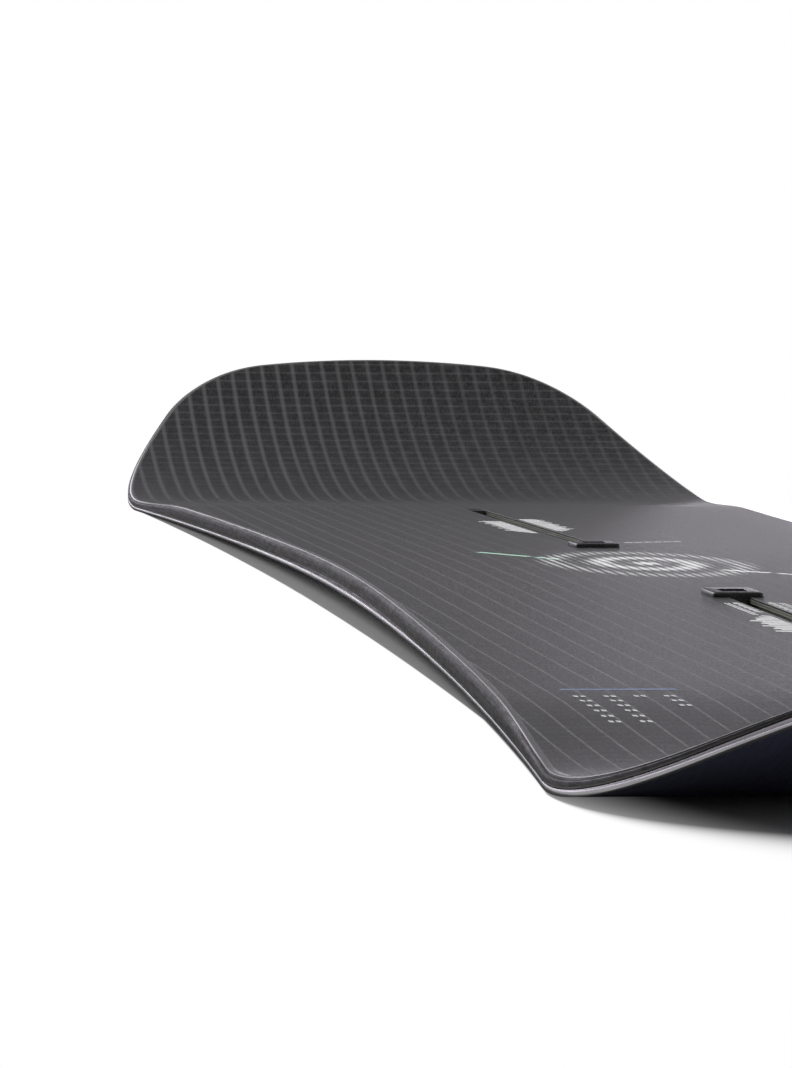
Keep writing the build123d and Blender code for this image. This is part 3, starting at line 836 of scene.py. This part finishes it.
def flange_rows(points):
    """Sections of the flange along half the rim, stepping in at each notch between the teeth."""
    rows, travelled = [], 0.0
    reach_at = {False: flange_reach, True: flange_reach - notch_depth}    # in a tooth, in a notch
    notch_start = tooth_pitch - notch_width
    for a, b in zip(points, points[1:]):
        step = hypot(b[0] - a[0], b[1] - a[1])
        marks = [(0.0, None)]
        for k in range(floor(travelled / tooth_pitch), ceil((travelled + step) / tooth_pitch) + 1):
            for place, opens in ((k * tooth_pitch, False), (k * tooth_pitch + notch_start, True)):
                if travelled <= place < travelled + step:
                    marks.append(((place - travelled) / step, opens))
        for share, opens in sorted(marks, key=lambda mark: mark[0]):
            at = between_points(a, b, share)
            if opens is None:
                notched = (travelled + share * step) % tooth_pitch >= notch_start
                rows.append(flange_section(at, reach_at[notched]))
            else:
                rows += [flange_section(at, reach_at[notched]) for notched in (not opens, opens)]
        travelled += step
    rows.append(flange_section(points[-1], flange_reach))
    return rows


for hand, name in ((1, "left"), (-1, "right")):
    rail = rail_loop(rim, hand)
    steel = Form().sweep([section(point, bar_places) for point in rail]).sweep(flange_rows(rail))
    steel = steel.piece(f"steel_edge_bar_{name}", edge_steel, smooth=50.0)
    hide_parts(f"steel_edge_{name}")

    between_contacts = [p for p in rail_loop(stepped, hand) if abs(p[0]) <= contact_half]
    strip = Form().sweep([section(point, damper_places) for point in between_contacts])
    damper = strip.piece(f"damper_strip_{name}", damper_rubber)
    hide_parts(f"edge_damper_{name}")

laminate = Form()
for loop, top, bottom in (
    (stepped, core_bottom, damper_top),
    (moved_in(stepped, damper_width), damper_top, flange_top),
    (moved_in(rim, flange_reach), flange_top, base_thickness),
):
    laminate.slab(loop, upright(top, bottom))
bottom_laminate = laminate.piece("bottom_laminate", glass_laminate)
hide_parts("lower_laminate")


# ---- Sidewalls and tip spacers ----
def wall_height(share):
    """Height of the sidewall, a share of the way up from its bottom."""
    return lambda s: core_bottom + share * (thickness(s) - skin_thickness - core_bottom)


wall_profile = [
    (bevel_width, below_deck(skin_thickness)),
    (0.45 * mm, wall_height(0.88)),
    (0.12 * mm, wall_height(0.74)),
    (0.0, wall_height(0.60)),
    (0.0, above(core_bottom)),
]

for hand, name in ((1, "left"), (-1, "right")):
    rows = []
    for point in rail_loop(stepped, hand):
        s = point[0]
        if abs(s) <= rail_cut + slack:
            places = [(inset, height(s)) for inset, height in wall_profile]
            places += [(sidewall_width, core_bottom), (sidewall_width, thickness(s) - skin_thickness)]
            rows.append(section(point, places))
    wall = Form().sweep(rows).piece(f"sidewall_strip_{name}", sidewall_plastic)
    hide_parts(f"sidewall_{name}")

for side, name in ((1, "nose"), (-1, "tail")):
    tip = [p for p in stepped if side * p[0] > rail_cut - slack]
    tip.sort(key=lambda p: atan2(p[1], side * (p[0] - side * rail_cut) + slack))
    outline = directed([p[:2] for p in tip] + [(side * (core_end + core_point), 0.0)])
    # Points of the rim keep the rim's own direction, so that the spacer meets the sidewalls.
    own = {p[:2]: p for p in tip}
    outline = [own.get(p[:2], p) for p in outline]
    spacer = Form().slab(outline, wall_profile).piece(f"tip_spacer_{name}", tip_plastic)
    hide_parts(f"{name}_spacer")

# ---- Top laminate and topsheet ----
pocket_wall = hanging((0.0, sheet_thickness), (0.0, skin_thickness))
top_laminate = Form().slab(
    moved_in(stepped, bevel_width),
    hanging((0.12 * mm, sheet_thickness), (0.0, skin_thickness)),
    [(channel_outline(side, hole=True), pocket_wall) for side in (1, -1)],
).piece("top_laminate", glass_laminate)
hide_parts("upper_laminate")

slot_lip = hanging((0.12 * mm, 0.0), (0.0, 0.1 * mm), (0.0, sheet_thickness))
rounded_rim = hanging(
    (1.9 * mm, 0.0), (1.3 * mm, 0.05 * mm), (0.65 * mm, 0.17 * mm), (0.15 * mm, 0.34 * mm),
    (0.0, sheet_thickness),
)
sheet = Form().slab(
    moved_in(stepped, bevel_width), rounded_rim, [(slot_hole(side), slot_lip) for side in (1, -1)],
).piece("top_sheet", topsheet_cloth)
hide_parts("topsheet")


# ---- Insert channels, end stops, plugs and nuts ----
def ribbed_wall():
    """Profile of the slot's wall in the lips, with fine lengthwise ribs."""
    places = [(0.0, lip_top)]
    for level in range(rib_levels):
        high = lip_top - (level + 0.35) * (lip_top - lip_bottom) / rib_levels
        low = lip_top - (level + 0.8) * (lip_top - lip_bottom) / rib_levels
        places += [(0.0, high), (rib, high), (rib, low), (0.0, low)]
    return rising(*places, (0.0, lip_bottom))


def channel_form(side):
    """A C-section channel: a floor, two walls and the lips beside the slot."""
    outside = channel_outline(side)
    cavity = rectangle(side, channel_inner + channel_end_wall, slot_stop, cavity_width, hole=True)
    walls = upright(lip_bottom, cavity_floor)
    channel = Form().slab(outside, upright(cavity_floor, core_bottom))
    channel.slab(outside, walls, [(cavity, walls)])
    return channel.slab(outside, upright(lip_top, lip_bottom), [(slot_hole(side), ribbed_wall())])


def end_stop_form(side):
    """A filler with a foot under the lips and a rounded head in the slot."""
    half = slot_width / 2 - trim_gap
    foot = rectangle(side, end_stop_start, slot_stop - trim_gap, cavity_width - 2 * fit_gap)
    curve = arc_points((slot_stop - slot_width / 2, 0.0), half, pi / 2, -pi / 2, round_parts)
    head = on_side(side, [(end_stop_start, half)] + curve + [(end_stop_start, -half)])
    bottom = lip_bottom - trim_gap
    stop = Form().slab(foot, upright(bottom, cavity_floor))
    return stop.slab(head, rising(
        (0.3 * mm, middle_thickness), (0.08 * mm, middle_thickness - 0.08 * mm),
        (0.0, middle_thickness - 0.3 * mm), (0.0, bottom),
    ))


def plug_form(side):
    """A plug: a rounded plate with a scalloped grip, a block in the port, a tongue in the slot."""
    plate = directed(rounded_rectangle(side * plate_start, side * plate_stop, plate_width, plate_corner))
    grip = directed(scalloped_grip(side), hole=True)
    grip_bottom = plate_top - grip_depth
    rounded = rising(
        (1.1 * mm, plate_top), (0.7 * mm, plate_top - 0.1 * mm), (0.25 * mm, plate_top - 0.38 * mm),
        (0.0, plate_top - 0.75 * mm), (0.0, grip_bottom),
    )
    grip_wall = rising((0.15 * mm, plate_top), (0.0, plate_top - 0.15 * mm), (0.0, grip_bottom))
    foot = rising((0.0, grip_bottom), (0.0, plate_bottom + 0.12 * mm), (0.12 * mm, plate_bottom))
    block = rectangle(side, port_start + fit_gap, port_stop - fit_gap, cavity_width - 2 * fit_gap)
    tongue = rectangle(side, port_stop - fit_gap, plate_stop, slot_width - 2 * fit_gap)
    plug = Form().slab(plate, rounded, [(grip, grip_wall)]).slab(plate, foot)
    plug.slab(block, upright(plate_bottom, cavity_floor + fit_gap))
    return plug.slab(tongue, upright(plate_bottom, lip_bottom))


def nut_form(side, middle):
    """A slide nut: a flat plate with cut corners and a threaded bore."""
    low, high = middle - nut_length / 2, middle + nut_length / 2
    half, cut = cavity_width / 2 - fit_gap, nut_corner
    outline = on_side(side, [
        (low, half - cut), (low + cut, half), (high - cut, half), (high, half - cut),
        (high, cut - half), (high - cut, -half), (low + cut, -half), (low, cut - half),
    ])
    circle = arc_points((side * middle, 0.0), thread_radius, 0.0, 2 * pi, bore_parts)[:-1]
    bottom = cavity_floor + nut_lift
    top = bottom + nut_thickness
    threaded = nut_thickness - 2 * thread_end
    thread = [(0.3 * mm, top)]
    for turn in range(thread_turns):
        crest = top - thread_end - turn * threaded / thread_turns
        thread += [(0.0, crest), (0.35 * mm, crest - threaded / thread_turns / 2)]
    thread += [(0.0, bottom + thread_end), (0.1 * mm, bottom)]
    edge = rising((0.25 * mm, top), (0.0, top - 0.25 * mm), (0.0, bottom + 0.2 * mm), (0.2 * mm, bottom))
    return Form().slab(outline, edge, [(directed(circle, hole=True), rising(*thread))])


for side, end in ((1, "front"), (-1, "rear")):
    rail = channel_form(side).piece(f"channel_rail_{end}", channel_plastic, smooth=25.0)
    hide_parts(f"insert_channel_{end}")

    filler = end_stop_form(side).piece(f"slot_end_stop_{end}", plug_plastic)
    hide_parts(f"end_stop_{end}")

    plug_piece = plug_form(side).piece(f"port_plug_{end}", plug_plastic, body=f"plug_{end}")
    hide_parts(f"channel_plug_{end}")

    for spot, place in (("inner", -1), ("outer", 1)):
        nut = nut_form(side, stance_half + place * bolt_spacing / 2)
        nut = nut.piece(f"slide_nut_plate_{end}_{spot}", nut_plating, body=f"nut_{end}_{spot}")
        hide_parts(f"slide_nut_{end}_{spot}")

# ---- The core, inside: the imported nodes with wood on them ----
for name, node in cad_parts.items():
    if name.startswith("core_"):
        node.data.materials.clear()
        node.data.materials.append(beech if "stringer" in name else poplar)

# ---- Printed marks, in millimetres: plain dots, bars and lines ----
inks = {
    "white": ink_material("ink_white", grey(0.94, (0.98, 0.99, 1.0)), grey(0.66)),
    "blue": ink_material("ink_blue", (0.20, 0.25, 0.36, 1.0), (0.12, 0.15, 0.22, 1.0)),
    "green": ink_material("ink_green", (0.50, 0.80, 0.62, 1.0), (0.36, 0.62, 0.50, 1.0)),
    "grey": ink_material("ink_grey", grey(0.7, (0.97, 0.99, 1.0)), grey(0.45)),
}
prints = {name: Form() for name in inks}
ink_lift = below_deck(-0.03 * mm)
oval_centre = 21.0
oval_half = (80.0, 45.0)
oval_rings = 5
dot_pitch = 3.4
smallest_dot = 0.3


def mark(ink, outline):
    prints[ink].patch([(s * mm, y * mm) for s, y in outline], ink_lift)


def bar(ink, s, y, length, width, lean=0.0):
    """A bar across the board at (s, y), leaning along it."""
    mark(ink, [
        (s - width / 2 - lean, y - length / 2), (s + width / 2 - lean, y - length / 2),
        (s + width / 2 + lean, y + length / 2), (s - width / 2 + lean, y + length / 2),
    ])


def line(ink, start, stop, width):
    """A straight line from one flat point to another."""
    along = Vector((stop[0] - start[0], stop[1] - start[1])).normalized() * width / 2
    mark(ink, [
        (start[0] + along.y, start[1] - along.x), (stop[0] + along.y, stop[1] - along.x),
        (stop[0] - along.y, stop[1] + along.x), (start[0] - along.y, start[1] + along.x),
    ])


def oval_of_dots():
    """Dots in staggered rows, larger and smaller in rings that fade outwards."""
    rows, columns = (int(half / dot_pitch) for half in oval_half)
    for i in range(-rows, rows + 1):
        for j in range(-columns, columns + 1):
            s, y = (i + (j % 2) / 2) * dot_pitch, j * dot_pitch
            out = hypot(s / oval_half[0], y / oval_half[1])
            swell = 0.62 + 0.38 * cos(out * oval_rings * pi)
            radius = dot_pitch * 0.60 * swell * (1.12 - 0.7 * out)
            if out < 1.0 and radius > smallest_dot:
                centre = (oval_centre + s, y)
                mark("white", arc_points(centre, radius, 0.0, 2 * pi, dot_parts)[:-1])


def slanted_bars(start, hand, count):
    """A row of slanted bars along one side of a slot, the first ones shorter."""
    side = 1 if start > 0 else -1
    for k in range(count):
        length = min((11.0, 8.0, 9.5, 8.0)[k % 4], 3.0 + 2.0 * k)
        bar("white", start + side * 4.6 * k, hand * (5.6 + length / 2), length, 2.9, lean=1.4)


def tick_scale(hand):
    """Fine ticks with two long lines beside them, on one side of the rear slot."""
    for k in range(15):
        bar("white", -163 - 2.6 * k, hand * 6.2, 1.6 + 0.8 * (k % 3), 1.3)
    for y in (9.1, 10.3):
        line("white", (-164, hand * y), (-211, hand * y), 0.5)


oval_of_dots()
line("green", (90, 55), (62, 39), 3.6)
line("green", (58, 37), (46, 30), 3.6)
line("white", (-14, -22), (-30, -37), 3.2)
line("white", (-33, -39.5), (-50, -54), 3.2)
for k in range(6):
    bar("white", 158 + 1.2 * k, -20 - 4.4 * k, 3.4, 2.6)
for start, hand, count in ((231, 1, 22), (247, -1, 22), (-215, 1, 13), (-222, -1, 20)):
    slanted_bars(start, hand, count)
for hand in (1, -1):
    tick_scale(hand)
line("blue", (-443, 119), (-443, 85.5), 4.0)
for y, count in ((116.5, 6), (108.0, 6), (99.5, 1), (91.0, 3)):
    for k in range(count):
        for half in (-1, 1):
            bar("grey", -460 - 10.2 * k, y + half, 1.3, 3.2, lean=0.3)

for name, ink in inks.items():
    marks = prints[name].piece(f"deck_marks_{name}", ink, closed=False)


# ---- Camera ----
def added(name, data):
    """A new object in the scene, turned by a quaternion."""
    made = bpy.data.objects.new(name, data)
    scene.collection.objects.link(made)
    made.rotation_mode = "QUATERNION"
    return made


camera_data = bpy.data.cameras.new("camera")
camera_data.sensor_width = 36.0
camera_data.lens = 147.77
camera_data.clip_start = 0.05
camera = added("camera", camera_data)
camera.location = (waist_x - 1.6412, 0.3389, 0.1283)
yaw, pitch, roll = radians(-8.239), radians(-3.554), radians(0.559)
forward = Vector((cos(yaw) * cos(pitch), sin(yaw) * cos(pitch), sin(pitch)))
level = Vector((sin(yaw), -cos(yaw), 0.0))
plumb = level.cross(forward)
right = level * cos(roll) + plumb * sin(roll)
up = -level * sin(roll) + plumb * cos(roll)
camera.rotation_quaternion = Matrix((right, up, -forward)).transposed().to_quaternion()
scene.camera = camera

# ---- Studio ----
scene.view_settings.view_transform = "Standard"
# Brightness of the room by height, from the horizon (0) to overhead (1), as gloss shows it.
bands = ((0.0, 3.0), (0.05, 1.7), (0.09, 0.34), (0.13, 0.18), (0.3, 0.15), (0.6, 0.09), (0.85, 0.04))
ambient = 0.21             # for surfaces that aren't glossy
white = 1.0

world = bpy.data.worlds.new("studio")
scene.world = world
studio = Nodes(world)
rays = studio.node("LightPath").outputs
x, y, z = studio.axes(studio.node("TexCoord").outputs["Generated"])
heights = studio.node("ValToRGB", z)
ramp = heights.color_ramp.elements
while len(ramp) < len(bands):
    ramp.new(0.5)
for element, (place, strength) in zip(ramp, bands):
    element.position = place
    element.color = grey(strength)

# Darker behind the camera, brighter on the right near the horizon and on the left overhead.
behind = studio.spread(x, -0.6, 0.2, 0.12, 1.0)
horizon = studio.times(heights.outputs["Color"], studio.spread(y, -0.24, -0.08, 1.6, 0.5))
overhead = studio.times(z, studio.spread(y, -0.3, 0.1, 0.0, 0.45))
room = studio.plus(horizon, overhead)

# A tall soft box ahead on the left, which the rounded rim of the left rail picks up.
soft_box = 2.2
for fade in (
    (y, -0.02, 0.08, 0.0, 1.0), (y, 0.3, 0.5, 1.0, 0.0),
    (z, 0.11, 0.18, 0.0, 1.0), (z, 0.35, 0.5, 1.0, 0.0),
):
    soft_box = studio.times(studio.spread(*fade), soft_box)
room = studio.times(behind, studio.plus(room, soft_box))

glossy = studio.mix(rays["Is Glossy Ray"], ambient, room)
seen = studio.larger(rays["Is Camera Ray"], rays["Is Transmission Ray"])
strength = studio.mix(seen, glossy, white)
tint = studio.blend(rays["Is Glossy Ray"], grey(1.0), grey(1.0, (1.0, 0.95, 1.04)))
studio.node("OutputWorld", studio.node("Background", tint, strength).outputs[0])

# ---- Floor ----
# It is pale paper. To the camera it turns into the white background away from the board.
# The shadow beside the left rail is cut off at a border. Past it the paper glows white to the camera,
# painted light over the real shadow. The border follows the rail from border_tail to border_nose,
# measured from the waist, but never comes inside the parabola width + lean + curve.
paper_reach = (0.86, 0.20)     # half sizes of the oval in which the camera sees the paper
border_tail, border_nose = -0.603, 0.6
border_gap = 0.3 * mm
border_width, border_lean, border_curve = 0.1338, 0.00484, 0.0371
border_soft = 0.8 * mm
tail_drop, nose_drop = 2.0, 1.2    # how fast the border comes in past those ends
drop_soft = 3.0                    # how much softer it gets there

floor_mesh = bpy.data.meshes.new("floor")
floor_mesh.from_pydata([(-8, -8, 0), (12, -8, 0), (12, 8, 0), (-8, 8, 0)], [], [(0, 1, 2, 3)])
floor_object = added("floor", floor_mesh)
floor_material = bpy.data.materials.new("floor_paper")
floor_mesh.materials.append(floor_material)
paper = Nodes(floor_material)
rays = paper.node("LightPath").outputs
where = paper.node("NewGeometry").outputs
squeezed = paper.scaled(where["Position"], (1 / paper_reach[0], 1 / paper_reach[1], 0.0))
distance = paper.node("VectorMath", squeezed, operation="LENGTH").outputs["Value"]
far = paper.spread(distance, 0.95, 1.25)

x, y, _ = paper.axes(where["Position"])
along = paper.minus(x, waist_x)
kept = paper.smaller(paper.larger(along, border_tail), border_nose)
square = paper.times(kept, kept)
rail_line = paper.times_plus(square, 0.5 / sidecut_radius, waist_width / 2 + border_gap)
band_line = paper.times_plus(square, border_curve, paper.times_plus(kept, border_lean, border_width))
past_tail = paper.larger(paper.minus(border_tail, along), 0.0)
past_nose = paper.larger(paper.minus(along, border_nose), 0.0)
drop = paper.times(paper.times(past_tail, past_tail), tail_drop)
drop = paper.times_plus(past_nose, nose_drop, drop)
outer = paper.minus(paper.larger(rail_line, band_line), drop)
inner = paper.times_plus(drop, -drop_soft, paper.minus(outer, border_soft))
# Painted light: where blank is 1 the camera sees the paper glow white. Past the border this paints over
# the shadow beside the rail and under the tail.
blank = paper.times(paper.larger(far, paper.spread(y, inner, outer)), rays["Is Camera Ray"])

# Its tone is higher to the camera and lower to gloss. From below it isn't seen at all.
tone = paper.times_plus(rays["Is Camera Ray"], 0.45, 0.8)
tone = paper.times_plus(rays["Is Glossy Ray"], -0.42, tone)
diffuse = paper.node("BsdfDiffuse", tone).outputs[0]
glow = paper.node("Emission").outputs[0]
clear = paper.node("BsdfTransparent").outputs[0]
top_side = paper.node("MixShader", blank, diffuse, glow).outputs[0]
surface = paper.node("MixShader", where["Backfacing"], top_side, clear).outputs[0]
paper.node("OutputMaterial", surface)

# ---- Lamp ----
lamp_data = bpy.data.lights.new("strip_light", "AREA")
lamp_data.shape = "RECTANGLE"
lamp_data.size, lamp_data.size_y = 2.4, 0.15
lamp_data.energy = 45.0
lamp = added("strip_light", lamp_data)
lamp.location = (0.0, -1.03, 1.23)
lamp.visible_glossy = False
lamp.rotation_quaternion = (-lamp.location).to_track_quat("-Z", "Y")
